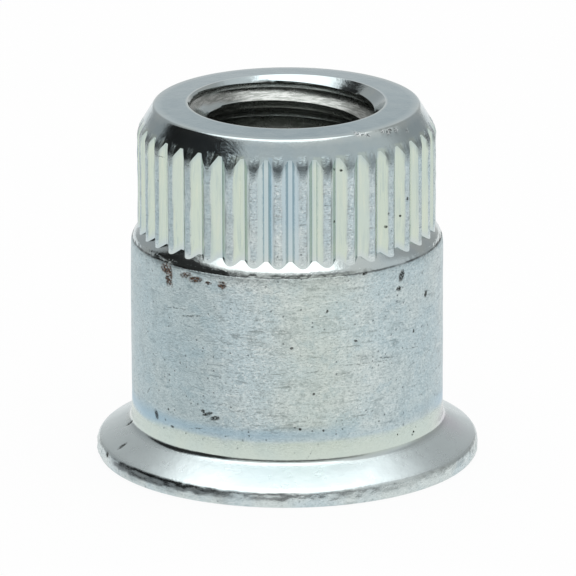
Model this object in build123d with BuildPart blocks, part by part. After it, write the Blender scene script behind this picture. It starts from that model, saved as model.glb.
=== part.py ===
from build123d import *
from math import acos, cos, degrees, pi, radians, sin, tan
import os

# Rivet nut, formed from one piece of steel: a coned flange, a plain body that is crimped when the
# nut is set, a shoulder, and a splined nose that carries the thread. Millimetres, +Z up.
# It stands on its flange, with the origin at the centre of the flange's flat outer face.

# Flange
flange_radius = 8.0
flange_rim_height = 0.58  # height at which the cone would meet the rim
flange_slope = 31.0  # degrees, fall of the cone from the body out to the rim
flange_edge_radius = 0.41
flange_face_chamfer = 0.06
flange_root_fillet = 0.3

# Body and shoulder
body_radius = 6.5
shoulder_height = 8.95  # height at which the body starts to round over
shoulder_radius = 1.0

# Splines rolled into the nose
spline_count = 38
spline_step = 0.3  # from the body's radius in to the crests
spline_depth = 0.25
groove_floor_width = 0.17
groove_flank_angle = 48.0  # degrees from the radius through the groove
crest_width = 0.14
crest_rounding = 0.05  # how far below the crest the flanks start to round over

# Nose
overall_height = 15.05
nose_angle = 31.0  # degrees from the axis
nose_inset = 0.7  # from the crests in to the rim of the end face
nose_base_chamfer = 0.22
nose_rim_chamfer = 0.06
end_face_rise = 0.07  # the end face rises a little from its rim to the countersink

# Hole: counterbore from the flange, then the core hole of an M8 x 1.25 thread
body_wall = 1.2
counterbore_depth = 8.0
counterbore_mouth_chamfer = 0.25
counterbore_point_angle = 118.0
thread_major_radius = 4.0
thread_pitch = 1.25
countersink_margin = 0.09  # from the thread's major radius out to the countersink's rim
countersink_angle = 90.0

# Radii and heights that follow
crest_radius = body_radius - spline_step
groove_radius = crest_radius - spline_depth
nose_rim_reach = crest_radius - nose_inset
nose_rim_height = overall_height - end_face_rise
nose_base_height = nose_rim_height - nose_inset / tan(radians(nose_angle))
flange_root_height = flange_rim_height + (flange_radius - body_radius) * tan(radians(flange_slope))
shoulder_centre = (body_radius - shoulder_radius, shoulder_height)
crest_start = degrees(acos((crest_radius - shoulder_centre[0]) / shoulder_radius))

thread_minor_radius = thread_major_radius - 0.625 * sin(radians(60)) * thread_pitch
countersink_radius = thread_major_radius + countersink_margin
countersink_depth = (countersink_radius - thread_minor_radius) / tan(radians(countersink_angle / 2))
counterbore_radius = body_radius - body_wall
point_depth = (counterbore_radius - thread_minor_radius) / tan(radians(counterbore_point_angle / 2))


def corner(sketch, radius, height):
    """The corner of a half section that lies nearest to a radius and a height."""
    return sketch.vertices().sort_by_distance((radius, height))[0]


# One groove's cutter, lying along +X. Its foot rises inward in line with the shoulder's round where
# the crests start, so that each groove runs out in a straight ramp.
half_floor = groove_floor_width / 2
flank_top = crest_radius - crest_rounding
flank_top_half = half_floor + (flank_top - groove_radius) * tan(radians(groove_flank_angle))
crest_edge_angle = pi / spline_count - crest_width / 2 / crest_radius
crest_edge = (crest_radius * cos(crest_edge_angle), crest_radius * sin(crest_edge_angle))
cutter_reach = body_radius + spline_depth
crest_start_height = shoulder_height + shoulder_radius * sin(radians(crest_start))
ramp_end = groove_radius - spline_depth

with BuildPart() as groove_cutter:
    with BuildSketch(Plane.XY.offset(shoulder_height)):
        with BuildLine():
            flank = Polyline((groove_radius, 0), (groove_radius, half_floor), (flank_top, flank_top_half))
            rounding = TangentArc(flank @ 1, crest_edge, tangent=flank % 1)
            Polyline(rounding @ 1, (cutter_reach, crest_edge[1]), (cutter_reach, 0))
            mirror(about=Plane.XZ)
        make_face()
    extrude(amount=overall_height - shoulder_height)
    with BuildSketch(Plane.XZ):
        with BuildLine():
            Polyline(
                (cutter_reach, shoulder_height),
                (cutter_reach, crest_start_height),
                (crest_radius, crest_start_height),
                (ramp_end, crest_start_height + (crest_radius - ramp_end) / tan(radians(crest_start))),
                (ramp_end, shoulder_height),
                close=True,
            )
        make_face()
    revolve(axis=Axis.Z, mode=Mode.SUBTRACT)

with BuildPart() as rivet_nut:
    # The blank, from the flange's face up to the end face, with the nose still plain
    with BuildSketch(Plane.XZ) as blank:
        with BuildLine():
            lower = Polyline(
                (0, 0),
                (flange_radius, 0),
                (flange_radius, flange_rim_height),
                (body_radius, flange_root_height),
                (body_radius, shoulder_height),
            )
            shoulder = CenterArc(shoulder_centre, shoulder_radius, 0, crest_start)
            Polyline(
                shoulder @ 1,
                (crest_radius, nose_base_height),
                (nose_rim_reach, nose_rim_height),
                (countersink_radius, overall_height),
                (0, overall_height),
                lower @ 0,
            )
        make_face()
        chamfer(corner(blank, flange_radius, 0), flange_face_chamfer)
        fillet(corner(blank, flange_radius, flange_rim_height), flange_edge_radius)
        fillet(corner(blank, body_radius, flange_root_height), flange_root_fillet)
        chamfer(corner(blank, crest_radius, nose_base_height), nose_base_chamfer)
        chamfer(corner(blank, nose_rim_reach, nose_rim_height), nose_rim_chamfer)
    revolve(axis=Axis.Z)

    # The grooves between the splines
    with PolarLocations(0, spline_count):
        add(groove_cutter.part, mode=Mode.SUBTRACT)

    # The hole right through
    with BuildSketch(Plane.XZ):
        with BuildLine():
            Polyline(
                (0, 0),
                (counterbore_radius + counterbore_mouth_chamfer, 0),
                (counterbore_radius, counterbore_mouth_chamfer),
                (counterbore_radius, counterbore_depth),
                (thread_minor_radius, counterbore_depth + point_depth),
                (thread_minor_radius, overall_height - countersink_depth),
                (countersink_radius, overall_height),
                (0, overall_height),
                close=True,
            )
        make_face()
    revolve(axis=Axis.Z, mode=Mode.SUBTRACT)

rivet_nut.part.label = "rivet_nut"

os.makedirs("parts", exist_ok=True)
export_step(rivet_nut.part, "parts/rivet_nut.step")
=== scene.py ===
from math import acos, cos, degrees, pi, radians, sin, tan

import bmesh
import bpy
import numpy as np
from mathutils import Matrix, Vector


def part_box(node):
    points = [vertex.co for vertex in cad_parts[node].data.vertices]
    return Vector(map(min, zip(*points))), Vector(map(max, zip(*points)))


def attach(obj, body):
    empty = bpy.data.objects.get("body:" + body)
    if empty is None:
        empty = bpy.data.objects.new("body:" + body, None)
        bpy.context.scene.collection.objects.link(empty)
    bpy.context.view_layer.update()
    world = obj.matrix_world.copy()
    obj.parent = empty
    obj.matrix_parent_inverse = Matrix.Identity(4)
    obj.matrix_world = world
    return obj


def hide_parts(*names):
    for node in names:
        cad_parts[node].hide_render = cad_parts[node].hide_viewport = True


# A splined rivet nut of zinc-plated steel, standing on its flange in a plain studio. Lengths are in
# millimetres and angles in degrees until a mesh is made; +Z runs up the nut's axis from the flange.

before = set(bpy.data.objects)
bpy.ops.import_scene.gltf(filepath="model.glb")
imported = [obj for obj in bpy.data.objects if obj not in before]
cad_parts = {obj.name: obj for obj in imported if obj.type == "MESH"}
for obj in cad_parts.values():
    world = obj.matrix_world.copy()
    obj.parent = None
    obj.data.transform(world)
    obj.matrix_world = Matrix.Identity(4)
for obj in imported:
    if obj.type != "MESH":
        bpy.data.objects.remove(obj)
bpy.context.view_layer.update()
MM = 0.001
nut_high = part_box("rivet_nut")[1]

# Flange, body and shoulder, as turned
FLANGE_RADIUS = nut_high.x / MM
FLANGE_RIM_HEIGHT = 0.58
FLANGE_SLOPE = 31.0
FLANGE_EDGE_RADIUS = 0.41
FLANGE_ROOT_FILLET = 0.3
FLANGE_FACE_RINGS = (1.05, 1.75)  # out from the counterbore's mouth
RIM_BULGE = ((0.0, 0.11), (0.025, 0.07), (0.08, 0.03), (0.17, 0.006), (0.26, 0.0))  # height, and how far in
BODY_RADIUS = 6.5
SHOULDER_HEIGHT = 8.95
SHOULDER_RADIUS = 1.0

# Splines
SPLINE_COUNT = 38
SPLINE_PITCH = 360.0 / SPLINE_COUNT
GROOVE_ANGLES = np.arange(SPLINE_COUNT) * 360.0 / SPLINE_COUNT
CREST_RADIUS = 6.2
CREST_WIDTH = 0.14
CREST_ROUNDING = 0.05
GROOVE_RADIUS = 5.95
GROOVE_FLOOR_WIDTH = 0.17
GROOVE_FLANK_ANGLE = 48.0
FLANK_STEPS = (1.5, 2.2, 2.86, 3.3, 3.72)  # from a groove's middle up its flank and round the crest's edge

# Nose and end face
TOP = nut_high.z / MM
NOSE_ANGLE = 31.0
NOSE_RIM_RADIUS = 5.5
NOSE_BASE_BLEND = 0.8
NOSE_RIM_BLEND = 0.17
END_FACE_RISE = 0.07
NOSE_RIM_HEIGHT = TOP - END_FACE_RISE

# Where the shoulder's round goes over into the ramp at the grooves' feet
RAMP_ANGLE = acos((CREST_RADIUS - BODY_RADIUS + SHOULDER_RADIUS) / SHOULDER_RADIUS)

# Hole
THREAD_MAJOR = 4.0
THREAD_PITCH = 1.25
THREAD_MINOR = THREAD_MAJOR - 0.625 * sin(radians(60)) * THREAD_PITCH
THREAD_START_ANGLE = 93.37  # where a thread root comes up to THREAD_START_HEIGHT
THREAD_START_HEIGHT = 14.60
COUNTERSINK_RADIUS = 4.09
COUNTERBORE_RADIUS = 5.3
COUNTERBORE_DEPTH = 8.0
COUNTERBORE_MOUTH = 0.25
DRILL_POINT = 118.0

# Rows of the meshes, from one edge to the next
BODY_ROWS = 47
SHOULDER_ROWS = 12
SPLINE_ROWS = 11
NOSE_ROWS = 10
RIM_ROWS = 5
END_FACE_ROWS = 4
ROWS_PER_PITCH = 16

# The camera's place, from the nut's foot
CAMERA_TURN = 3.37  # from straight in front, counter-clockwise
CAMERA_RISE = 17.27
CAMERA_ROLL = -0.17
CAMERA_DISTANCE = 325.86
CAMERA_AIM = (0.04, 6.965)  # to its right, and above the flange's face
CAMERA_LENS = 489.5
CAMERA_ANGLE = 270.0 + CAMERA_TURN  # the same, as an angle round the nut

# Where the finishes begin and end: heights, radii on the flange, and angles round the nut
BODY_FOOT = 1.6
STRAW_BAND_TOP = 2.3
BLUE_BAND = (2.25, 3.1)
SKIN_TOP = 9.32  # the body's rough skin ends here, on the shoulder's round
SPLINES_FROM = SHOULDER_HEIGHT + 0.6
SPLINES_TO = 14.3
NOSE_FROM = 13.0
RIM_FROM = 14.7
END_FACE_FROM = 14.9
FLANGE_RIM_FROM = 7.5
TORN_GRAIN_FROM = 7.4
# Towards this angle, which faces the camera, the grooves' straw gives way to blue; in the grooves both
# colours are partly the film's own and partly painted reflection
BLUE_FRONT_ANGLE = 272.0
BLUE_GROOVE = 28  # the groove whose flank has the bluest film
STRAW_FRONT_ANGLE = 284.0
# Painted shade: from these two angles outwards the body and the crests darken, to both sides of the front
SIDE_SHADE_LEFT_ANGLE = 262.0
SIDE_SHADE_RIGHT_ANGLE = 295.0
ROSE_ANGLE = 358.0

# The finishes, each an attribute of the mesh that the plating reads. One of them is painted shade to both
# sides of the front, and another holds soiling together with painted shade along the crests' edges.
FINISHES = ("skin", "cut_face", "satin", "straw", "blue", "side_shade", "rose", "soil_and_shade", "bore")

# Marks left by handling and storage, each an oval on the surface: angle round the nut, height,
# radius there, half its width, half its height, and how far it leans, clockwise
RUST = [
    (223.3, 9.12, 6.45, 0.34, 0.22, 0),
    (225.0, 8.80, 6.50, 0.20, 0.38, 8),
    (226.3, 8.48, 6.50, 0.07, 0.12, 0),
    (233.5, 9.08, 6.48, 0.30, 0.12, -12),
    (238.0, 8.98, 6.50, 0.34, 0.13, -8),
    (243.5, 8.93, 6.50, 0.16, 0.08, 0),
    (249.3, 8.93, 6.50, 0.20, 0.16, 0),
]
PITS = [
    (243.0, 3.30, 6.5, 0.26, 0.07, -20),
    (246.0, 3.16, 6.5, 0.22, 0.09, -15),
    (241.0, 3.38, 6.5, 0.10, 0.08, 20),
    (216.8, 2.62, 6.5, 0.12, 0.20, -25),
    (226.3, 2.37, 6.5, 0.10, 0.05, 0),
    (224.0, 3.05, 6.5, 0.05, 0.05, 0),
    (319.9, 8.86, 6.5, 0.15, 0.24, 20),
    (318.3, 8.34, 6.5, 0.14, 0.10, 0),
    (335.1, 7.65, 6.5, 0.12, 0.14, 20),
    (303.0, 9.30, 6.4, 0.12, 0.05, -8),
    (326.8, 1.93, 6.5, 0.06, 0.05, 0),
    (326.0, 1.83, 6.5, 0.06, 0.04, 0),
    (317.7, 2.07, 6.5, 0.04, 0.04, 0),
    (204.7, 0.95, 7.4, 0.12, 0.12, 0),
    (202.2, 0.52, 7.96, 0.14, 0.10, 0),
    (192.0, 1.40, 6.64, 0.10, 0.12, 0),
    (292.1, 11.57, 6.15, 0.05, 0.05, 0),
    (315.0, 10.99, 6.1, 0.06, 0.06, 0),
    (316.0, 11.54, 6.1, 0.035, 0.05, 0),
    (323.8, 11.24, 6.1, 0.035, 0.05, 0),
    (326.7, 11.93, 6.1, 0.07, 0.07, 0),
    (331.5, 10.60, 6.1, 0.035, 0.04, 0),
    (310.0, 12.9, 6.1, 0.04, 0.04, 0),
    (295.0, 13.7, 6.1, 0.05, 0.05, 0),
    (323.0, 14.84, 5.57, 0.10, 0.04, 20),
    (288.0, 7.9, 6.5, 0.05, 0.07, 20),
    (275.0, 6.4, 6.5, 0.07, 0.05, -30),
    (299.0, 6.5, 6.5, 0.09, 0.05, 20),
    (327.0, 6.3, 6.5, 0.05, 0.08, 0),
    (283.0, 4.4, 6.5, 0.05, 0.05, 0),
    (278.0, 2.9, 6.5, 0.06, 0.06, 0),
    (286.5, 2.8, 6.5, 0.05, 0.05, 0),
]
NICKS = [
    (306.0, 14.93, 5.50, 0.22, 0.06, 0),
    (309.5, 14.88, 5.52, 0.16, 0.07, 20),
    (318.5, 14.86, 5.54, 0.12, 0.07, 0),
    (321.5, 14.80, 5.57, 0.20, 0.09, -20),
    (326.5, 14.76, 5.60, 0.14, 0.08, 20),
    (333.0, 14.60, 5.69, 0.10, 0.08, 0),
]
SCRATCHES = [
    (236.5, 7.39, 6.5, 0.62, 0.035, -10),
    (229.0, 7.55, 6.5, 0.60, 0.018, -8),
    (210.9, 3.45, 6.5, 0.30, 0.025, -48),
    (237.6, 2.56, 6.5, 0.42, 0.03, -12),
    (303.5, 5.47, 6.5, 1.30, 0.018, 3),
    (281.6, 5.34, 6.5, 0.60, 0.014, -3),
    (312.0, 5.55, 6.5, 0.35, 0.03, 8),
    (326.0, 5.60, 6.5, 0.55, 0.018, 8),
    (281.6, 1.83, 6.5, 0.16, 0.018, -60),
    (191.1, 14.55, 5.75, 0.30, 0.02, 40),
    (214.0, 13.66, 6.1, 0.45, 0.025, 12),
]
DENT_DEPTH = 0.03  # of rust, pits and nicks alike
MARK_REACH = 1.2  # how deep an oval reaches through the surface

# Colours of the plating, with painted shade and a painted highlight among them
POLISHED = ((0.53, 0.61, 0.63), (0.59, 0.65, 0.64))  # where the cloudy film is blue, and where pale
ROLLED = ((0.59, 0.70, 0.73), (0.68, 0.75, 0.74))
ROLLED_BLUE_PATCH = (0.49, 0.61, 0.65)
ROLLED_GREY_PATCH = (0.42, 0.49, 0.50)
SMUDGE = (0.22, 0.26, 0.27)
RUBBED = (0.92, 0.97, 0.95)
GRAIN_LOW = (0.24, 0.29, 0.30)
GRAIN_FINE = (0.26, 0.31, 0.32)
# Painted highlight: light specks in the rough skin's grain
PAINTED_GRAIN_HIGHLIGHT = (0.94, 0.99, 0.98)
# Painted shade, mixed half in over the rough skin to both sides of the front
PAINTED_SIDE_SHADE = (0.34, 0.46, 0.50)
CUT_FACE = ((0.27, 0.365, 0.405), (0.31, 0.405, 0.44))
SATIN_CONE = (0.66, 0.74, 0.75)
STRAW = (0.60, 0.68, 0.57)
STRAW_DULL = (0.46, 0.55, 0.53)
STRAW_BRIGHT = (0.68, 0.72, 0.60)
BLUE = (0.38, 0.54, 0.64)
ROSE = (0.56, 0.48, 0.56)
BORE = ((0.24, 0.25, 0.23), (0.43, 0.44, 0.42))
SPECK = (0.07, 0.09, 0.10)
# Soiling, and painted shade along the crests' edges
SOIL_AND_SHADE = (0.05, 0.06, 0.065)
SCRATCH = (0.10, 0.12, 0.12)
PIT = (0.05, 0.05, 0.045)
NICK_SHADE = (0.10, 0.12, 0.13)
NICK_GLINT = (0.92, 0.96, 0.96)
RUST_COLOURS = ((0.03, 0.024, 0.02), (0.20, 0.10, 0.055))

# The room's light, by direction: side is the angle round to the right from straight towards the camera,
# and rise is the angle up
WALL_LEVEL = 0.76
CEILING_LEVEL = 1.05  # more than the walls
ZENITH_LEVEL = 0.35  # more than the ceiling
CEILING_EDGE = (50.0, 58.0)
ZENITH_EDGE = (55.0, 80.0)
RIGHT_SIDE = (62.0, 118.0)  # the ceiling starts RIGHT_LIFT higher there
RIGHT_LIFT = 14.0
CORNER_SIDE = (104.0, 160.0)
DARK_LEFT_SIDE = (-122.0, -43.5)
DARK_LEFT_RISE = (2.0, 42.5)
DARK_FRONT_SIDE = (-122.0, 60.0)
DARK_FRONT_RISE = (8.0, 32.0)

FLOOR_RADIUS = 800.0
FLOOR_DROP = 0.02  # below the flange's face, so that the two don't share a plane
FLOOR_WHITE = 0.94
FLOOR_GLOW = 0.92

SEED = 11


# ---------------------------------------------------------------- surface helpers

def lattice_noise(turn, height, cells, tall, seed):
    """Smooth noise from -1 to 1 on a cylinder: random values at the corners of a lattice with a whole
    number of cells around the turn, each `tall` mm high, blended by a smooth step in both ways."""
    rng = np.random.default_rng(SEED + seed)
    grid = rng.uniform(-1, 1, (cells, 401))
    u = (turn / 360.0 % 1.0) * cells
    v = (height / tall) % 400
    iu = np.floor(u).astype(int)
    iv = np.floor(v).astype(int)
    fu = smooth(u - iu, 0, 1)
    fv = smooth(v - iv, 0, 1)
    low = grid[iu % cells, iv] * (1 - fu) + grid[(iu + 1) % cells, iv] * fu
    high = grid[iu % cells, iv + 1] * (1 - fu) + grid[(iu + 1) % cells, iv + 1] * fu
    return low * (1 - fv) + high * fv


def smooth(x, low, high):
    """Nought at low, one at high and level beyond them, with a smooth step between."""
    t = np.clip((x - low) / (high - low), 0, 1)
    return t * t * (3 - 2 * t)


def bell(x, middle, width):
    """One in the middle, falling off as a bell curve."""
    return np.exp(-(((x - middle) / width) ** 2))


def angle_apart(turn, at):
    """The signed angle from `at` to `turn`, between -180 and 180 degrees."""
    return (turn - at + 180.0) % 360.0 - 180.0


def from_groove(turn):
    """The signed angle in degrees from the middle of the nearest groove."""
    return (turn + SPLINE_PITCH / 2) % SPLINE_PITCH - SPLINE_PITCH / 2


def groove_number(turn):
    """The number of the nearest groove, counted from nought at the angle nought."""
    return np.rint(turn * SPLINE_COUNT / 360.0).astype(int) % SPLINE_COUNT


# ---------------------------------------------------------------- outside of the nut

def groove_columns():
    """The angles of the outer columns in degrees: for each groove the same 16 steps, which fall on the
    edges of its floor, along its flanks, round the crest and on the middle of the land."""
    floor_edge = degrees(GROOVE_FLOOR_WIDTH / 2 / GROOVE_RADIUS)
    land_middle = SPLINE_PITCH / 2
    crest_edge = land_middle - degrees(CREST_WIDTH / 2 / CREST_RADIUS)
    side = np.array([floor_edge, *FLANK_STEPS, crest_edge])
    step = np.concatenate([-side[::-1], [0.0], side, [land_middle]])
    return (GROOVE_ANGLES[:, None] + step[None, :]).ravel()


def spline_radius(turn):
    """The radius across one groove: the floor's, then a straight line up the flank, then the soft
    minimum of that line and the crest's radius."""
    across = CREST_RADIUS * np.sin(np.radians(np.abs(from_groove(turn))))
    flank = GROOVE_RADIUS + (across - GROOVE_FLOOR_WIDTH / 2) / tan(radians(GROOVE_FLANK_ANGLE))
    below_crest = (CREST_RADIUS - np.maximum(flank, GROOVE_RADIUS)) / CREST_ROUNDING
    return CREST_RADIUS - CREST_ROUNDING * np.logaddexp(0.0, below_crest)


def shoulder_top(radius):
    """The height at which the shoulder's round, carried on in a straight ramp, reaches a radius."""
    ramp_start = SHOULDER_HEIGHT + SHOULDER_RADIUS * sin(RAMP_ANGLE)
    return ramp_start + (CREST_RADIUS - radius) / tan(RAMP_ANGLE)


def nose_height(radius):
    """The height at which the nose has a radius: a round up from the crests, then a straight cone."""
    slope = tan(radians(NOSE_ANGLE))
    base = NOSE_RIM_HEIGHT - (CREST_RADIUS - NOSE_RIM_RADIUS) / slope
    centre = base - NOSE_BASE_BLEND * tan(radians(NOSE_ANGLE / 2))
    cone_start = CREST_RADIUS - NOSE_BASE_BLEND * (1 - cos(radians(NOSE_ANGLE)))
    inside = NOSE_BASE_BLEND**2 - (radius - CREST_RADIUS + NOSE_BASE_BLEND) ** 2
    rounded = centre + np.sqrt(np.clip(inside, 0, None))
    cone = NOSE_RIM_HEIGHT - (radius - NOSE_RIM_RADIUS) / slope
    return np.where(radius > cone_start, rounded, cone)


def flange_profile():
    """Radius and height up the flange: its flat face, the slightly bulging rim, the rim's rounding
    over on to the cone, the cone, and the fillet at the body's foot."""
    slope = radians(FLANGE_SLOPE)
    root = FLANGE_RIM_HEIGHT + (FLANGE_RADIUS - BODY_RADIUS) * tan(slope)
    bend = radians(90 - FLANGE_SLOPE)
    rim_end = FLANGE_RIM_HEIGHT - FLANGE_EDGE_RADIUS * tan(bend / 2)
    arc = np.linspace(0, bend, 8)
    arc_r = FLANGE_RADIUS - FLANGE_EDGE_RADIUS * (1 - np.cos(arc))
    arc_z = rim_end + FLANGE_EDGE_RADIUS * np.sin(arc)
    reach = FLANGE_ROOT_FILLET * tan(bend / 2)
    cone_end_r = BODY_RADIUS + reach * cos(slope)
    cone_end_z = root - reach * sin(slope)
    cone = np.linspace(0, 1, 9)[1:]
    cone_r = arc_r[-1] + (cone_end_r - arc_r[-1]) * cone
    cone_z = arc_z[-1] + (cone_end_z - arc_z[-1]) * cone
    turn = slope + np.linspace(0, bend, 6)[1:]
    fillet_r = BODY_RADIUS + FLANGE_ROOT_FILLET * (1 - np.sin(turn))
    fillet_z = root + reach - FLANGE_ROOT_FILLET * np.cos(turn)
    rim_z, rim_inset = np.array(RIM_BULGE).T
    face_r = COUNTERBORE_RADIUS + COUNTERBORE_MOUTH + np.array(FLANGE_FACE_RINGS)
    r = np.concatenate([face_r, FLANGE_RADIUS - rim_inset, arc_r, cone_r, fillet_r])
    z = np.concatenate([0 * face_r, rim_z, arc_z, cone_z, fillet_z])
    return r, z


def shoulder_rows(groove):
    """Radius and height up the shoulder, from the body to the grooves' feet: equal steps in height,
    on the round up to the crests and on the straight ramp above them."""
    share = np.linspace(0, 1, SHOULDER_ROWS + 1)[1:, None]
    z = SHOULDER_HEIGHT + (shoulder_top(groove) - SHOULDER_HEIGHT)[None, :] * share
    lift = np.clip(z - SHOULDER_HEIGHT, 0, SHOULDER_RADIUS)
    on_round = BODY_RADIUS - SHOULDER_RADIUS + np.sqrt(SHOULDER_RADIUS**2 - lift**2)
    ramp_start = shoulder_top(CREST_RADIUS)
    on_ramp = CREST_RADIUS - (z - ramp_start) * tan(RAMP_ANGLE)
    return np.where(z > ramp_start, on_ramp, on_round), z


def spline_rows(groove):
    """Radius and height up the splines: each column is upright, from its foot on the shoulder to its
    head on the nose, in equal steps."""
    share = np.linspace(0, 1, SPLINE_ROWS + 1)[1:, None]
    foot = shoulder_top(groove)
    z = foot + (nose_height(groove) - foot)[None, :] * share
    return np.repeat(groove[None, :], SPLINE_ROWS, 0), z


def nose_rim():
    """The rounded rim of the end face: the radius where the cone meets it, and radius and height
    along its arc, which turns from the cone's slope to level."""
    slope = radians(NOSE_ANGLE)
    cut = NOSE_RIM_BLEND * tan(radians((90 - NOSE_ANGLE) / 2))
    cone_end = NOSE_RIM_RADIUS + cut * sin(slope)
    arc = np.linspace(slope, pi / 2, RIM_ROWS + 1)[1:]
    r = cone_end - NOSE_RIM_BLEND * cos(slope) + NOSE_RIM_BLEND * np.cos(arc)
    z = NOSE_RIM_HEIGHT - cut * cos(slope) - NOSE_RIM_BLEND * sin(slope) + NOSE_RIM_BLEND * np.sin(arc)
    return cone_end, r, z


def end_face(rim_r, rim_z):
    """Radius and height across the end face, which rises evenly from its rim to the countersink. The
    last ring stands a little off the countersink, where the hole's columns join in."""
    r = np.linspace(rim_r, COUNTERSINK_RADIUS + 0.12, END_FACE_ROWS + 1)[1:]
    return r, rim_z + (TOP - rim_z) * (rim_r - r) / (rim_r - COUNTERSINK_RADIUS)


def nut_outside(turn):
    """Radius and height on the grid of outer rows (from the flange's face up to the end face) by
    columns (angles). Each row is a ring, but those of the shoulder, splines and nose follow the line
    where the grooves run out below and above."""
    groove = spline_radius(turn)
    flange_r, flange_z = flange_profile()
    body_z = np.linspace(flange_z[-1], SHOULDER_HEIGHT, BODY_ROWS + 1)[1:]
    shoulder_r, shoulder_z = shoulder_rows(groove)
    spline_r, spline_z = spline_rows(groove)
    cone_end, rim_r, rim_z = nose_rim()
    share = np.linspace(0, 1, NOSE_ROWS + 1)[1:, None]
    nose_r = groove[None, :] + (cone_end - groove)[None, :] * share
    face_r, face_z = end_face(rim_r[-1], rim_z[-1])

    def rings(values):
        return np.repeat(np.asarray(values)[:, None], len(turn), 1)

    low_r = rings(np.concatenate([flange_r, np.full(BODY_ROWS, BODY_RADIUS)]))
    low_z = rings(np.concatenate([flange_z, body_z]))
    high_r = rings(np.concatenate([rim_r, face_r]))
    high_z = rings(np.concatenate([rim_z, face_z]))
    r = np.concatenate([low_r, shoulder_r, spline_r, nose_r, high_r])
    z = np.concatenate([low_z, shoulder_z, spline_z, nose_height(nose_r), high_z])
    return r, z


# ---------------------------------------------------------------- where each finish lies

def splined_zone(r, z):
    """One between the shoulder and the nose, where the splines are, and nought outside."""
    foot = shoulder_top(r)
    head = nose_height(r)
    zone = smooth(z, foot + 0.01, foot + 0.05) * smooth(z, head + 0.04, head - 0.04)
    return np.where((z > SPLINES_FROM) & (z < SPLINES_TO), zone, 0.0)


def rolled_body(z, shift):
    """The body's rough skin: a quarter at its foot, full just under the blue band's top, and carried
    a little past SKIN_TOP, where the material cuts it off."""
    foot = smooth(z, BODY_FOOT, BODY_FOOT + 0.1)
    full = smooth(z + 0.03 * shift, BODY_FOOT + 0.1, BLUE_BAND[1] - 0.3)
    return (full * 0.75 + 0.25) * foot * (z < SKIN_TOP + 0.12)


def cut_metal(r, z):
    """The dull cut metal: half of it on the nose, all of it on the end face, and little of it on the
    bright rim between them."""
    head = nose_height(np.minimum(r, CREST_RADIUS))
    nose = smooth(z, head - 0.03, head + 0.03) * (z > NOSE_FROM)
    rim = bell(r, NOSE_RIM_RADIUS, 0.13) * (z > RIM_FROM)
    return np.clip(nose + (z > END_FACE_FROM), 0, 1) * (1 - 0.9 * rim)


def groove_films():
    """How much straw and how much blue the film in each groove has: random, but towards the front the straw
    fades out and the blue comes up. Both are partly the film's own colour and partly painted reflection,
    laid out by how each groove faces the camera."""
    rng = np.random.default_rng(SEED)
    straw = rng.uniform(0.8, 1.0, SPLINE_COUNT)
    cool = rng.uniform(0.0, 0.4, SPLINE_COUNT)
    from_front = np.abs(angle_apart(GROOVE_ANGLES, BLUE_FRONT_ANGLE))
    front = np.clip(1.6 - from_front / 8.0, 0, 1)
    return straw * (1 - front), np.maximum(cool, front)


def turned_away(turn):
    """One on that side of each groove whose flank is turned away from the front, nought on its middle
    and its other side."""
    outward = from_groove(turn) * np.sign(angle_apart(turn, CAMERA_ANGLE))
    return smooth(outward, -0.6, -0.9)


def straw_film(turn, z, shift, groove, body):
    """The straw film: in the grooves, in a band at the body's foot, and faintly up its front. In the
    grooves it is partly painted reflection, and fades on the flank turned away from the front.
    """
    # Partly painted reflection: less straw on the flank of each groove turned away from the front
    film = groove_films()[0][groove_number(turn)] * (0.88 + 0.12 * shift) * (1 - 0.85 * turned_away(turn))
    foot = smooth(z + 0.04 * shift, STRAW_BAND_TOP + 0.05, STRAW_BAND_TOP - 0.05)
    foot = foot * smooth(z, BODY_FOOT - 0.15, BODY_FOOT + 0.02)
    front = bell(angle_apart(turn, STRAW_FRONT_ANGLE), 0.0, 17.0) * body
    return np.clip(groove * film + 0.5 * foot + 0.30 * front, 0, 1)


def blue_film(turn, z, groove, straw):
    """The blue film: faint in most grooves, strong on one flank in front, and in a patchy band round the
    body above the straw one. In the grooves it is partly painted reflection."""
    index = groove_number(turn)
    own = from_groove(turn)
    flank = smooth(own, 0.8, 1.2) * smooth(own, 2.6, 2.1) * (index == BLUE_GROOVE)
    cool = 0.28 * groove_films()[1][index] + 0.6 * flank
    wide = lattice_noise(turn, z, 14, 1.6, 2)
    band = smooth(z + 0.12 * wide, BLUE_BAND[0] - 0.02, BLUE_BAND[0] + 0.15)
    band = band * smooth(z + 0.25 * wide, BLUE_BAND[1] + 0.1, BLUE_BAND[1] - 0.5)
    return np.clip(groove * cool * (1 - 0.9 * straw) + band * np.clip(0.4 + 1.1 * wide, 0, 0.9), 0, 1)


def grime_and_shade(turn, r, z, shift, splined):
    """Soiling and painted shade: a fine line of soiling over the lands' heads, a line of painted shade
    along each crest's edge, heavier on the flank turned away from the front, a ragged band of soiling round
    the flange's torn rim, heavy on the left, and a thin darkening over the rim there."""
    off = np.abs(from_groove(turn))
    heads = bell(z, nose_height(r) - 0.02, 0.035) * (off > 2.6) * (r > 6.0) * (0.65 + 0.5 * shift)
    # Painted shade along each crest's edge, heavier on the flank turned away from the front
    edges = smooth(off, 2.75, 3.0) * smooth(off, 3.5, 3.2) * splined
    edges = edges * (0.3 + 0.35 * shift) * (0.4 + 0.6 * turned_away(turn))

    left = smooth(turn, 204, 212) * smooth(turn, 262, 240)
    broken = lattice_noise(turn, z, 110, 0.2, 10)
    band = smooth(z + 0.06 * shift, 0.29, 0.36)
    band = band * smooth(z + 0.07 * lattice_noise(turn, z, 150, 0.3, 9), 0.64, 0.58)
    band = band * (0.9 * left + 0.25 * smooth(broken, 0.1, 0.5))
    film = 0.5 * left * smooth(z, 0.04, 0.12) * smooth(z, 0.66, 0.58) * (0.55 + 0.45 * broken)
    rim = (band + film) * (r > FLANGE_RIM_FROM)
    return np.clip(heads * (z > NOSE_FROM) + rim + edges, 0, 1)


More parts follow.
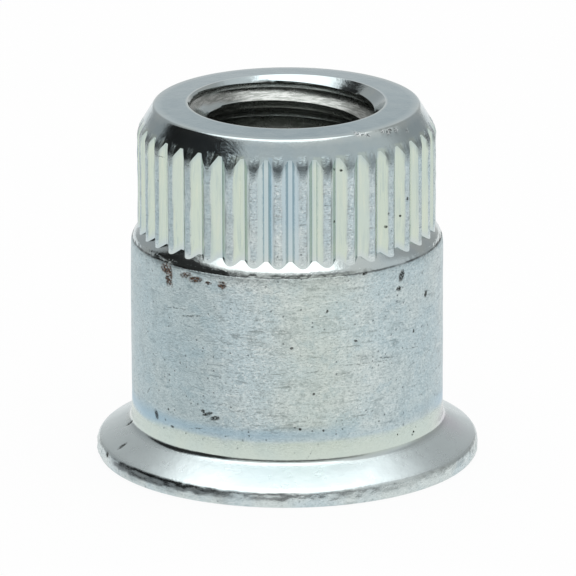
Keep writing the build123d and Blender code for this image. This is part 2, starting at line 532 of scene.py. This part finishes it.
def finish_masks(turn, r, z):
    """How much of each finish a point of the outside has, from nought to one, by name. Each is made of
    smooth steps in height and angle, and lattice noise moves its edges about. Satin is the flange's cone
    and rose a spot at the body's foot. Two masks carry painted shade: one darkens the body and crests to
    both sides of the front, and the other holds soiling together with painted shade along the crests'
    edges."""
    turn = np.broadcast_to(turn, r.shape)
    shift = lattice_noise(turn, z, 120, 0.5, 1)
    splined = splined_zone(r, z)
    crest = smooth(np.abs(from_groove(turn)) + 0.25 * shift, 2.9, 3.5) * splined
    groove = (1 - crest) * splined
    body = rolled_body(z, shift)
    flange_rim = 0.45 * smooth(z, 0.66, 0.56) * (r > FLANGE_RIM_FROM)
    straw = straw_film(turn, z, shift, groove, body)
    # Painted shade: the body and crests darken to both sides of the front
    left = 0.95 * smooth(angle_apart(turn, SIDE_SHADE_LEFT_ANGLE), 0, -26)
    right = 0.6 * smooth(angle_apart(turn, SIDE_SHADE_RIGHT_ANGLE), 0, 26)
    return {
        "skin": np.clip(crest + body + flange_rim, 0, 1),
        "cut_face": cut_metal(r, z),
        "satin": smooth(z, 0.60, 0.72) * smooth(r, 6.52, 6.75) * (z < BODY_FOOT + 0.1),
        "straw": straw,
        "blue": blue_film(turn, z, groove, straw),
        "side_shade": np.clip(body + crest, 0, 1) * (left + right),
        "rose": bell(angle_apart(turn, ROSE_ANGLE), 0.0, 9.0) * bell(z, BODY_FOOT, 0.6),
        "soil_and_shade": grime_and_shade(turn, r, z, shift, splined),
        "bore": np.zeros_like(r),
    }


def roughen(turn, r, z, skin):
    """Moves the outer grid along its normals by the rough plating: low waves on the body, a grain on
    the crests, a coarse torn grain round the flange's rim, and a dent at each rust spot, pit and nick.
    The move is never above nought, so it only goes inwards."""
    turn = np.broadcast_to(turn, r.shape)
    slope_r = np.gradient(r, axis=0)
    slope_z = np.gradient(z, axis=0)
    length = np.hypot(slope_r, slope_z) + 1e-9
    wave = 0.010 * (lattice_noise(turn, z, 26, 1.5, 3) - 1)
    wave = wave + 0.004 * (lattice_noise(turn, z, 90, 0.45, 4) - 1)
    body = smooth(z, BODY_FOOT + 0.1, 2.4) * smooth(z, SKIN_TOP, SKIN_TOP - 0.3)
    grain = 0.016 * (lattice_noise(turn, z, 230, 0.16, 5) - 1)
    crest = skin * (z > SKIN_TOP)
    coarse = 0.030 * (lattice_noise(turn, z, 160, 0.22, 6) - 1)
    coarse = coarse + 0.018 * (lattice_noise(turn, z, 300, 0.12, 7) - 1)
    rim = smooth(z, 0.70, 0.45) * smooth(z, 0.0, 0.06) * (r > TORN_GRAIN_FROM)
    move = wave * body + grain * crest + coarse * rim
    for at, level, radius, half_width, half_height, _ in RUST + PITS + NICKS:
        across = radius * np.radians(angle_apart(turn, at))
        move = move - DENT_DEPTH * bell(across, 0.0, half_width) * bell(z, level, half_height)
    return r + move * slope_z / length, z - move * slope_r / length


# ---------------------------------------------------------------- hole

def thread_radius(turn, height):
    """The radius of the right-hand thread: from the middle of a root the flat root, a flank at 60
    degrees to the axis and the flat crest, repeated each pitch and rising one pitch a turn."""
    rise = height - THREAD_START_HEIGHT - THREAD_PITCH * (turn - THREAD_START_ANGLE) / 360.0
    off = np.abs((rise / THREAD_PITCH + 0.5) % 1.0 - 0.5) * THREAD_PITCH
    flank = THREAD_MAJOR - (off - THREAD_PITCH / 16) / tan(radians(30))
    return np.clip(flank, THREAD_MINOR, THREAD_MAJOR)


def threaded_hole(turn):
    """Radius, height and how far it is thread rather than the 90 degree countersink, on the grid of
    the hole's rows by columns. The thread's rows climb with it, one pitch a turn, so that row i of
    the last column meets row i + ROWS_PER_PITCH of the first; they stop at the countersink's rim
    above and at the drill's cone below."""
    low = COUNTERBORE_DEPTH + (COUNTERBORE_RADIUS - THREAD_MINOR) / tan(radians(DRILL_POINT / 2))
    step = THREAD_PITCH / ROWS_PER_PITCH
    count = int(np.ceil((TOP - low) / step)) + ROWS_PER_PITCH + 2
    base = low - THREAD_PITCH + step * np.arange(count)
    z = np.clip(base[:, None] + THREAD_PITCH * turn[None, :] / 360.0, low, TOP)
    countersink = COUNTERSINK_RADIUS - (TOP - z)
    r = np.maximum(countersink, thread_radius(turn[None, :], z))
    r = np.where(z <= low + 1e-9, THREAD_MINOR, r)
    return r, z, smooth(r - countersink, 0.0, 0.05)


def counterbore_rings():
    """Radius and height of the rings from the drill's cone down the counterbore to its mouth."""
    heights = [COUNTERBORE_DEPTH, 6.0, 4.0, 2.0, COUNTERBORE_MOUTH, 0.0]
    radii = [COUNTERBORE_RADIUS] * 5 + [COUNTERBORE_RADIUS + COUNTERBORE_MOUTH]
    return np.array(radii), np.array(heights)


# ---------------------------------------------------------------- the nut's mesh

def quads(rows, columns, first=0, shift=0):
    """Quads between neighbouring points of a grid that is closed around its columns. The last column
    meets the first `shift` rows higher."""
    i = np.arange(rows - 1)[:, None]
    j = np.arange(columns)[None, :]
    k = (j + 1) % columns
    far = i + np.where(k == 0, shift, 0)
    corners = [i * columns + j, far * columns + k, (far + 1) * columns + k, (i + 1) * columns + j]
    return np.stack(corners, -1)[far + 1 < rows] + first


def points_around(turn, radius, height):
    """Points of a grid, as an array of x, y and z in metres, row after row."""
    a = np.radians(np.broadcast_to(turn, radius.shape))
    return np.stack([radius * np.cos(a), radius * np.sin(a), height], -1).reshape(-1, 3) * MM


def rivet_nut():
    """One closed mesh: the outside, a ring on the end face where two outer columns meet one of the
    hole's, the hole downwards, and a like ring on the flange's face."""
    turn = groove_columns()
    half = turn[::2]
    outer_count = len(turn)
    hole_count = len(half)
    r, z = nut_outside(turn)
    masks = finish_masks(turn, r, z)
    r, z = roughen(turn, r, z, masks["skin"])
    hole_r, hole_z, hole_thread = threaded_hole(half)
    low_r, low_z = [np.repeat(values[:, None], hole_count, 1) for values in counterbore_rings()]
    outer = points_around(turn, r, z)
    hole = points_around(half, hole_r, hole_z)
    low = points_around(half, low_r, low_z)
    first_hole = len(outer)
    first_low = first_hole + len(hole)

    faces = quads(len(r), outer_count).tolist()
    faces += quads(len(hole_r), hole_count, first_hole, ROWS_PER_PITCH)[:, ::-1].tolist()
    faces += quads(len(low_r), hole_count, first_low).tolist()
    j = np.arange(hole_count)
    k = (j + 1) % hole_count
    drill_cone = [first_hole + j, first_hole + k, first_low + k, first_low + j]
    faces += np.stack(drill_cone, -1).tolist()
    last = first_hole - outer_count
    rim = first_low - hole_count
    end = [last + 2 * j, last + 2 * j + 1, last + (2 * j + 2) % outer_count, rim + k, rim + j]
    faces += np.stack(end, -1).tolist()
    mouth = first_low + len(low) - hole_count
    foot = [mouth + j, mouth + k, (2 * j + 2) % outer_count, 2 * j + 1, 2 * j]
    faces += np.stack(foot, -1).tolist()

    mesh = bpy.data.meshes.new("rivet_nut_zinc")
    mesh.from_pydata(np.concatenate([outer, hole, low]), [], faces)
    bore = np.concatenate([hole_thread.ravel(), np.ones(len(low))])
    for name in FINISHES:
        inner = bore if name == "bore" else 0 * bore
        values = np.concatenate([masks[name].ravel(), inner]).astype(np.float32)
        mesh.attributes.new(name, "FLOAT", "POINT").data.foreach_set("value", values)
    build = bmesh.new()
    build.from_mesh(mesh)
    bmesh.ops.remove_doubles(build, verts=build.verts, dist=1e-8)
    build.to_mesh(mesh)
    build.free()
    mesh.shade_smooth()
    mesh.set_sharp_from_angle(angle=radians(30))
    nut = bpy.data.objects.new("rivet_nut_zinc", mesh)
    bpy.context.scene.collection.objects.link(nut)
    return nut


# ---------------------------------------------------------------- node helpers

def node(tree, kind, inputs=None, **settings):
    """A shader node of that kind, with its settings, and each input linked to a socket or set."""
    made = tree.nodes.new("ShaderNode" + kind)
    for name, value in settings.items():
        setattr(made, name, value)
    for key, value in (inputs or {}).items():
        if isinstance(value, bpy.types.NodeSocket):
            tree.links.new(value, made.inputs[key])
        else:
            made.inputs[key].default_value = value
    return made


def calc(tree, operation, *values):
    """One arithmetic step."""
    return node(tree, "Math", dict(enumerate(values)), operation=operation).outputs[0]


def times(tree, a, b):
    """Two values multiplied."""
    return calc(tree, "MULTIPLY", a, b)


def vector(tree, operation, a, b):
    """One step with vectors."""
    return node(tree, "VectorMath", {0: a, 1: b}, operation=operation).outputs[0]


def scaled(tree, a, factor):
    """A vector made longer or shorter."""
    return node(tree, "VectorMath", {0: a, "Scale": factor}, operation="SCALE").outputs[0]


def ramp(tree, value, low, high, start=0.0, end=1.0):
    """A smooth step from start, at low, to end, at high."""
    ends = {"Value": value, "From Min": low, "From Max": high, "To Min": start, "To Max": end}
    return node(tree, "MapRange", ends, interpolation_type="SMOOTHSTEP").outputs["Result"]


def between(tree, value, ends, soft):
    """One between the two ends, nought outside them, with soft edges."""
    rising = ramp(tree, value, ends[0] - soft, ends[0] + soft)
    return times(tree, rising, ramp(tree, value, ends[1] + soft, ends[1] - soft))


def blend(tree, share, under, over):
    """One colour laid over another."""
    made = node(tree, "Mix", {0: share}, data_type="RGBA")
    for key, value in ((6, under), (7, over)):
        if isinstance(value, bpy.types.NodeSocket):
            tree.links.new(value, made.inputs[key])
        else:
            made.inputs[key].default_value = (*value, 1.0)
    return made.outputs[2]


def noise(tree, place, size, detail, roughness):
    """Noise with features of about `size` millimetres."""
    settings = {"Vector": place, "Scale": 1 / (size * MM), "Detail": detail, "Roughness": roughness}
    return node(tree, "TexNoise", settings).outputs["Fac"]


def marks(tree, place, shapes, soft):
    """Ovals on the surface, each one inside and nought outside: the point is brought into the oval's
    own axes (outwards, along its width, along its height), and its distance there is faded out."""
    total = None
    for at, level, radius, half_width, half_height, lean in shapes:
        turn = radians(at)
        where = {
            "Vector": place,
            "Location": Vector((radius * cos(turn), radius * sin(turn), level)) * MM,
            "Rotation": (radians(-lean), 0.0, turn),
            "Scale": Vector((MARK_REACH, half_width, half_height)) * MM,
        }
        local = node(tree, "Mapping", where, vector_type="TEXTURE").outputs[0]
        reach = node(tree, "VectorMath", {0: local}, operation="LENGTH").outputs["Value"]
        one = ramp(tree, reach, 1.0 + soft, 1.0 - soft)
        total = one if total is None else calc(tree, "MAXIMUM", total, one)
    return total


# ---------------------------------------------------------------- zinc plate

def uneven(tree, place):
    """The place moved about by a fine noise, far for the ragged edges of rust, and a little for the
    wavy edges of the other marks."""
    settings = {"Vector": place, "Scale": 1 / (0.12 * MM), "Detail": 3.0}
    torn = node(tree, "TexNoise", settings).outputs["Color"]
    torn = vector(tree, "SUBTRACT", torn, (0.5, 0.5, 0.5))
    ragged = vector(tree, "ADD", place, scaled(tree, torn, 0.16 * MM))
    wavy = vector(tree, "ADD", place, scaled(tree, torn, 0.05 * MM))
    return ragged, wavy


def trimmed_skin(tree, skin, level):
    """The skin, cut off at SKIN_TOP and begun again a little higher, for the splines' crests."""
    below = ramp(tree, level, (SKIN_TOP + 0.02) * MM, (SKIN_TOP - 0.02) * MM)
    above = ramp(tree, level, (SKIN_TOP + 0.16) * MM, (SKIN_TOP + 0.18) * MM)
    return times(tree, skin, calc(tree, "MAXIMUM", below, above))


def crease_dirt(tree, level, patch):
    """Dirt in the line where the body's skin ends on the shoulder, broken up by the patches."""
    off = calc(tree, "ABSOLUTE", calc(tree, "SUBTRACT", level, (SKIN_TOP + 0.02) * MM))
    return times(tree, ramp(tree, off, 0.06 * MM, 0.01 * MM), ramp(tree, patch, 0.35, 0.60, 0.35, 1.0))


def plating_specks(tree, wavy, skin):
    """Small dark specks: the middles of some cells of a cell pattern, on the skin only."""
    settings = {"Vector": wavy, "Scale": 1 / (0.24 * MM), "Randomness": 1.0}
    cells = node(tree, "TexVoronoi", settings).outputs
    chance = node(tree, "SeparateColor", {0: cells["Color"]}).outputs[0]
    middle = ramp(tree, cells["Distance"], 0.20, 0.10)
    return times(tree, times(tree, middle, ramp(tree, chance, 0.74, 0.84)), skin)


def rolled_colour(tree, cloud, patch, grain, fine, wavy, side_shade):
    """The rough skin: clouds and patches, smudges and rubbed spots drawn out round the nut, a dark grain
    with light specks that are painted highlights, and painted shade to both sides of the front."""
    colour = blend(tree, ramp(tree, cloud, 0.35, 0.65), *ROLLED)
    colour = blend(tree, ramp(tree, patch, 0.52, 0.66, 0.0, 0.6), colour, ROLLED_BLUE_PATCH)
    colour = blend(tree, ramp(tree, patch, 0.48, 0.36, 0.0, 0.55), colour, ROLLED_GREY_PATCH)
    drawn_round = vector(tree, "MULTIPLY", wavy, (0.45, 0.45, 2.4))
    smudge = noise(tree, drawn_round, 0.45, 4.0, 0.65)
    colour = blend(tree, ramp(tree, smudge, 0.42, 0.32, 0.0, 0.7), colour, SMUDGE)
    colour = blend(tree, ramp(tree, smudge, 0.58, 0.68, 0.0, 0.5), colour, RUBBED)
    colour = blend(tree, ramp(tree, grain, 0.46, 0.36, 0.0, 0.55), colour, GRAIN_LOW)
    colour = blend(tree, ramp(tree, fine, 0.44, 0.34, 0.0, 0.6), colour, GRAIN_FINE)
    # Painted highlights: light specks where the grain is high
    colour = blend(tree, ramp(tree, grain, 0.55, 0.65, 0.0, 0.6), colour, PAINTED_GRAIN_HIGHLIGHT)
    # Painted shade to both sides of the front, mixed half in
    return blend(tree, side_shade, colour, blend(tree, 0.5, colour, PAINTED_SIDE_SHADE))


def filmed_colour(tree, colour, place, level, mask):
    """The straw film, with upright streaks in the grooves, then the blue and the rose film."""
    colour = blend(tree, mask["straw"], colour, STRAW)
    drawn_up = vector(tree, "MULTIPLY", place, (1.0, 1.0, 0.08))
    streak = noise(tree, drawn_up, 0.16, 3.0, 0.65)
    in_groove = times(tree, mask["straw"], ramp(tree, level, 9.3 * MM, 9.7 * MM))
    dull = times(tree, in_groove, ramp(tree, streak, 0.52, 0.66, 0.0, 0.6))
    bright = times(tree, in_groove, ramp(tree, streak, 0.46, 0.36, 0.0, 0.5))
    colour = blend(tree, dull, colour, STRAW_DULL)
    colour = blend(tree, bright, colour, STRAW_BRIGHT)
    colour = blend(tree, mask["blue"], colour, BLUE)
    return blend(tree, times(tree, mask["rose"], 0.5), colour, ROSE)


def bore_colour(tree, place):
    """The thread and the bore, darker, with streaks that run round them."""
    drawn_round = vector(tree, "MULTIPLY", place, (0.5, 0.5, 5.0))
    return blend(tree, ramp(tree, noise(tree, drawn_round, 0.25, 3.0, 0.6), 0.40, 0.62), *BORE)


def zinc_plate():
    """Zinc plate on steel: a pale blue-grey film with cloudy colour, straw and blue where it is thin,
    pitted on the rolled skin, and rusted and dirty at the marks. In the grooves the straw and blue are
    partly painted reflection; painted shade darkens the skin to both sides of the front and lines the
    crests' edges, and light specks in the skin's grain are painted highlights."""
    material = bpy.data.materials.new("zinc_plate")
    material.use_nodes = True
    tree = material.node_tree
    shader = tree.nodes["Principled BSDF"]
    place = node(tree, "TexCoord").outputs["Object"]
    mask = {name: node(tree, "Attribute", attribute_name=name).outputs["Fac"] for name in FINISHES}
    ragged, wavy = uneven(tree, place)
    level = node(tree, "SeparateXYZ", {0: wavy}).outputs["Z"]

    cloud = noise(tree, place, 2.4, 3.0, 0.55)
    patch = noise(tree, place, 0.9, 3.0, 0.6)
    drawn = vector(tree, "MULTIPLY", place, (1.0, 1.0, 1.7))
    grain = noise(tree, drawn, 0.13, 3.0, 0.7)
    fine = noise(tree, drawn, 0.07, 2.0, 0.6)

    skin = trimmed_skin(tree, mask["skin"], level)
    speck = plating_specks(tree, wavy, skin)
    grime_and_crest_shade = calc(tree, "MAXIMUM", mask["soil_and_shade"], crease_dirt(tree, level, patch))
    rust = marks(tree, ragged, RUST, 0.25)
    nick = marks(tree, wavy, NICKS, 0.4)
    pit = marks(tree, wavy, PITS, 0.35)
    scratch = marks(tree, wavy, SCRATCHES, 0.3)

    polished = blend(tree, ramp(tree, cloud, 0.40, 0.62), *POLISHED)
    rolled = rolled_colour(tree, cloud, patch, grain, fine, wavy, mask["side_shade"])
    cut = blend(tree, ramp(tree, patch, 0.35, 0.65), *CUT_FACE)
    colour = blend(tree, skin, polished, rolled)
    colour = blend(tree, times(tree, mask["cut_face"], 0.9), colour, cut)
    colour = blend(tree, mask["satin"], colour, SATIN_CONE)
    colour = filmed_colour(tree, colour, place, level, mask)
    colour = blend(tree, times(tree, mask["bore"], 0.9), colour, bore_colour(tree, place))

    scratched = times(tree, scratch, ramp(tree, grain, 0.60, 0.40, 0.0, 0.8))
    pitted = times(tree, pit, ramp(tree, fine, 0.46, 0.62, 1.0, 0.3))
    shaded = times(tree, nick, ramp(tree, fine, 0.50, 0.40, 0.0, 0.8))
    glinting = times(tree, nick, ramp(tree, fine, 0.50, 0.60, 0.0, 0.9))
    rusted = times(tree, rust, ramp(tree, grain, 0.62, 0.46, 0.15, 1.0))
    colour = blend(tree, times(tree, speck, 0.6), colour, SPECK)
    # Soiling, with painted shade along the crests' edges
    colour = blend(tree, times(tree, grime_and_crest_shade, 0.8), colour, SOIL_AND_SHADE)
    colour = blend(tree, scratched, colour, SCRATCH)
    colour = blend(tree, pitted, colour, PIT)
    colour = blend(tree, shaded, colour, NICK_SHADE)
    colour = blend(tree, glinting, colour, NICK_GLINT)
    rust_colour = blend(tree, ramp(tree, fine, 0.48, 0.62), *RUST_COLOURS)
    colour = blend(tree, rusted, colour, rust_colour)
    tree.links.new(colour, shader.inputs["Base Color"])

    rough = 0.11
    rougher = ((skin, 0.24), (mask["bore"], 0.12), (mask["satin"], 0.16), (mask["cut_face"], -0.03))
    for share, more in rougher:
        rough = calc(tree, "MULTIPLY_ADD", share, more, rough)
    rough = calc(tree, "MULTIPLY_ADD", ramp(tree, patch, 0.35, 0.65), 0.05, rough)
    rough = calc(tree, "MAXIMUM", rough, times(tree, calc(tree, "MAXIMUM", rust, pit), 0.75))
    tree.links.new(rough, shader.inputs["Roughness"])
    tree.links.new(calc(tree, "SUBTRACT", 1.0, times(tree, rust, 0.8)), shader.inputs["Metallic"])

    raised = calc(tree, "MULTIPLY_ADD", skin, 0.88, 0.12)
    raised = calc(tree, "MULTIPLY_ADD", mask["cut_face"], 0.10, raised)
    height = times(tree, grain, raised)
    height = calc(tree, "SUBTRACT", height, times(tree, speck, 0.8))
    height = calc(tree, "MULTIPLY_ADD", patch, 0.35, height)
    bump = node(tree, "Bump", {"Height": height, "Strength": 0.75, "Distance": 0.045 * MM})
    tree.links.new(bump.outputs[0], shader.inputs["Normal"])
    return material


# ---------------------------------------------------------------- studio

def studio_light():
    """The room as a brightness by direction: a bright ceiling, dimmer walls, darker corners behind the
    nut, and a dark part on the left and in front, low down."""
    world = bpy.data.worlds.new("studio")
    bpy.context.scene.world = world
    world.use_nodes = True
    tree = world.node_tree
    spin = {"Vector": node(tree, "TexCoord").outputs["Generated"], "Angle": radians(-CAMERA_TURN)}
    turned = node(tree, "VectorRotate", spin, rotation_type="Z_AXIS").outputs[0]
    axes = node(tree, "SeparateXYZ", {0: turned}).outputs
    rise = times(tree, calc(tree, "ARCSINE", axes["Z"]), 180 / pi)
    side = times(tree, calc(tree, "ARCTAN2", axes["X"], times(tree, axes["Y"], -1.0)), 180 / pi)

    right = between(tree, side, RIGHT_SIDE, 10.0)
    ceiling = ramp(tree, calc(tree, "MULTIPLY_ADD", right, -RIGHT_LIFT, rise), *CEILING_EDGE)
    zenith = ramp(tree, rise, *ZENITH_EDGE)
    corners = between(tree, calc(tree, "ABSOLUTE", side), CORNER_SIDE, 14.0)
    corners = times(tree, corners, ramp(tree, rise, 52.0, 44.0))
    lowered = calc(tree, "ADD", rise, ramp(tree, side, -60.0, -85.0, 0.0, -8.0))
    left = between(tree, lowered, DARK_LEFT_RISE, 2.5)
    left = times(tree, left, between(tree, side, DARK_LEFT_SIDE, 3.0))
    front = between(tree, side, DARK_FRONT_SIDE, 4.0)
    front = times(tree, front, between(tree, rise, DARK_FRONT_RISE, 4.0))
    front = times(tree, front, ramp(tree, side, 110.0, 5.0))
    dark = calc(tree, "MAXIMUM", left, times(tree, front, 0.85))

    level = calc(tree, "MULTIPLY_ADD", ceiling, CEILING_LEVEL, WALL_LEVEL)
    level = calc(tree, "MULTIPLY_ADD", zenith, ZENITH_LEVEL, level)
    level = times(tree, level, calc(tree, "MULTIPLY_ADD", corners, -0.4, 1.0))
    level = times(tree, level, calc(tree, "MULTIPLY_ADD", dark, -0.96, 1.0))
    room = tree.nodes["Background"]
    room.inputs["Color"].default_value = (1, 1, 1, 1)
    tree.links.new(level, room.inputs["Strength"])


def white_table():
    """White paper that glows: the camera, mirrors and clear things see FLOOR_GLOW of plain white, and
    the rest is lit paper, which takes the nut's shadow."""
    material = bpy.data.materials.new("white_table")
    material.use_nodes = True
    tree = material.node_tree
    paper = tree.nodes["Principled BSDF"]
    paper.inputs["Base Color"].default_value = (FLOOR_WHITE, FLOOR_WHITE, FLOOR_WHITE, 1)
    paper.inputs["Roughness"].default_value = 0.9
    paper.inputs["Specular IOR Level"].default_value = 0.2
    glow = node(tree, "Emission", {"Color": (1, 1, 1, 1), "Strength": 1.0}).outputs[0]
    path = node(tree, "LightPath").outputs
    mirrored = calc(tree, "MAXIMUM", path["Is Glossy Ray"], path["Is Transmission Ray"])
    seen = times(tree, calc(tree, "MAXIMUM", path["Is Camera Ray"], mirrored), FLOOR_GLOW)
    cover = node(tree, "MixShader", {0: seen, 1: paper.outputs[0], 2: glow}).outputs[0]
    tree.links.new(cover, tree.nodes["Material Output"].inputs["Surface"])
    return material


def studio_floor():
    """A white disc under the nut."""
    mesh = bpy.data.meshes.new("studio_floor")
    a = np.linspace(0, 2 * pi, 96, endpoint=False)
    edge = np.stack([FLOOR_RADIUS * np.cos(a), FLOOR_RADIUS * np.sin(a), 0 * a - FLOOR_DROP], -1) * MM
    mesh.from_pydata(edge, [], [list(range(len(edge)))])
    mesh.materials.append(white_table())
    floor = bpy.data.objects.new("studio_floor", mesh)
    bpy.context.scene.collection.objects.link(floor)


def camera():
    """A long lens that looks down on the nut at CAMERA_RISE."""
    data = bpy.data.cameras.new("camera")
    data.lens = CAMERA_LENS
    data.sensor_width = 36.0
    data.clip_start = 0.01
    data.clip_end = 5.0
    view = bpy.data.objects.new("camera", data)
    bpy.context.scene.collection.objects.link(view)
    rise = radians(CAMERA_RISE)
    turn = Matrix.Rotation(radians(CAMERA_TURN), 4, "Z")
    aim = Vector((CAMERA_AIM[0], 0, CAMERA_AIM[1])) * MM
    away = Vector((0, -cos(rise), sin(rise))) * CAMERA_DISTANCE * MM
    tilt = Matrix.Rotation(radians(90) - rise, 4, "X") @ Matrix.Rotation(radians(CAMERA_ROLL), 4, "Z")
    view.matrix_world = turn @ Matrix.Translation(aim + away) @ tilt
    bpy.context.scene.camera = view


scene = bpy.context.scene
scene.view_settings.view_transform = "Standard"
camera()
studio_light()
studio_floor()
nut = rivet_nut()
nut.data.materials.append(zinc_plate())
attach(nut, "root")
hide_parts("rivet_nut")
